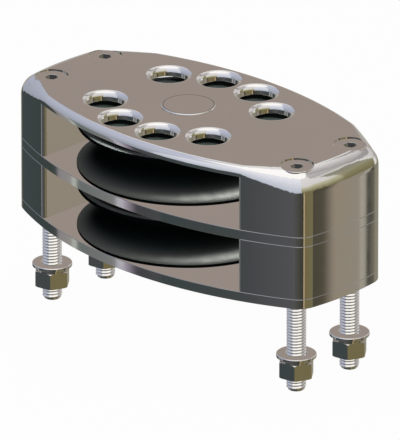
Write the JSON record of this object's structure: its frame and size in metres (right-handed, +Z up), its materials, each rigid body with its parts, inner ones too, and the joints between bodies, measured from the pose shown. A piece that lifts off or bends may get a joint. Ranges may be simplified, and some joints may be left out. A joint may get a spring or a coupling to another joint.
{
  "type": "flush-deck double foot block",
  "caption": "Low stainless housing with rounded ends, holding two grooved sheaves one over the other on one upright axle, bolted down through a deck.",
  "frame": {"origin": "middle of the four-bolt pattern, on the flat underside that lies on the deck", "axes": "+X along the long axis towards the open end, where the end pillar stands farther from the sheaves; +Z up, away from the deck; +Y to the left when looking along +X"},
  "size_m": [0.2006, 0.1106, 0.1196],
  "materials": {
    "housing_steel": "polished stainless steel",
    "fastener_steel": "polished stainless steel fasteners",
    "washer_steel": "bright stainless washers",
    "axle_steel": "ground and polished stainless steel",
    "race_steel": "ground stainless steel",
    "sheave_black": "black hard-anodised aluminium, satin",
    "roller_polymer": "natural bearing polymer",
    "cage_polymer": "dark acetal",
    "washer_polymer": "off-white acetal"
  },
  "bodies": {
    "housing": {"top_cover": "housing_steel", "middle_plate": "housing_steel", "bottom_plate": "housing_steel", "lower_end_block_left": "housing_steel", "lower_end_block_right": "housing_steel", "axle_pin": "axle_steel", "axle_screw": "fastener_steel", "upper_inner_race": "race_steel", "lower_inner_race": "race_steel", "upper_thrust_washer_top": "washer_polymer", "upper_thrust_washer_bottom": "washer_polymer", "lower_thrust_washer_top": "washer_polymer", "lower_thrust_washer_bottom": "washer_polymer", "through_bolts": "fastener_steel", "flat_washers": "washer_steel", "spring_washers": "washer_steel", "hex_nuts": "fastener_steel"},
    "upper_sheave_body": {"upper_sheave": "sheave_black", "upper_outer_race": "race_steel"},
    "lower_sheave_body": {"lower_sheave": "sheave_black", "lower_outer_race": "race_steel"},
    "upper_cage_body": {"upper_roller_cage": "cage_polymer", "upper_rollers": "roller_polymer"},
    "lower_cage_body": {"lower_roller_cage": "cage_polymer", "lower_rollers": "roller_polymer"}
  },
  "joints": [
    {"name": "upper_sheave_spin", "type": "hinge", "parent": "housing", "child": "upper_sheave_body", "pos_m": [-0.008, 0, 0.052], "axis": [0, 0, 1], "continuous": true},
    {"name": "upper_cage_spin", "type": "hinge", "parent": "housing", "child": "upper_cage_body", "pos_m": [-0.008, 0, 0.052], "axis": [0, 0, 1], "continuous": true},
    {"name": "lower_sheave_spin", "type": "hinge", "parent": "housing", "child": "lower_sheave_body", "pos_m": [-0.008, 0, 0.019], "axis": [0, 0, 1], "continuous": true},
    {"name": "lower_cage_spin", "type": "hinge", "parent": "housing", "child": "lower_cage_body", "pos_m": [-0.008, 0, 0.019], "axis": [0, 0, 1], "continuous": true}
  ],
  "couplings": [
    {"joint": "upper_cage_spin", "follows": "upper_sheave_spin", "ratio": 0.58689},
    {"joint": "lower_cage_spin", "follows": "lower_sheave_spin", "ratio": 0.58689}
  ]
}
